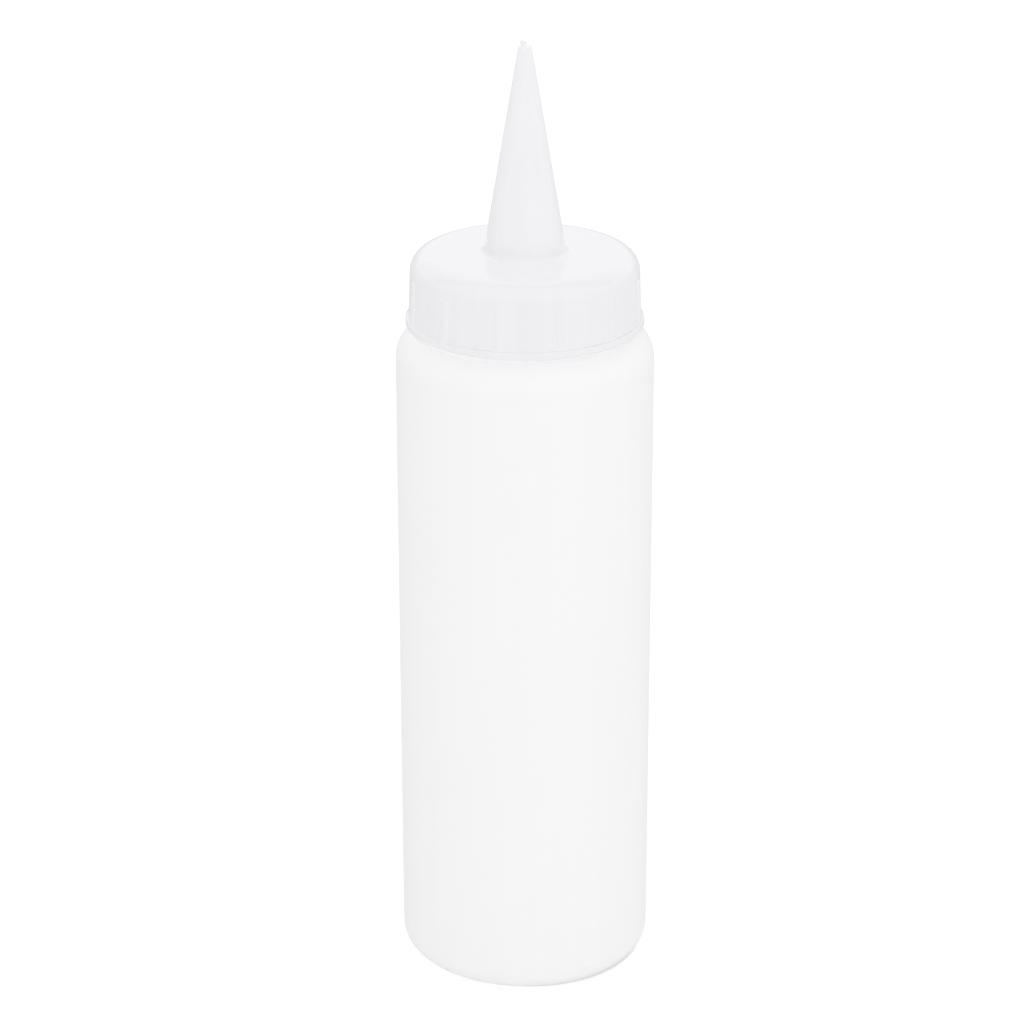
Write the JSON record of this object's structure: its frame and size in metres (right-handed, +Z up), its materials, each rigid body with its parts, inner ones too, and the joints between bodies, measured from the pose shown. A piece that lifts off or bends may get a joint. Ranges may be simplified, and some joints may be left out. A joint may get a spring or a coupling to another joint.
{
  "type": "squeeze bottle",
  "caption": "Cylindrical soft plastic squeeze bottle with a rounded shoulder and a ribbed screw cap that carries a long closed cone nozzle, for sauces and dressings.",
  "frame": {"origin": "on the bottle's axis, in the plane of its standing ring", "axes": "+Z up along the axis towards the nozzle's tip, -Y towards the side seen first, +X to that view's right"},
  "size_m": [0.057, 0.057, 0.2155],
  "materials": {
    "bottle_plastic": "milky natural polyethylene, satin",
    "cap_plastic": "translucent natural polyethylene, semi-gloss"
  },
  "bodies": {
    "root": {"bottle": "bottle_plastic", "cap": "cap_plastic"}
  },
  "joints": []
}
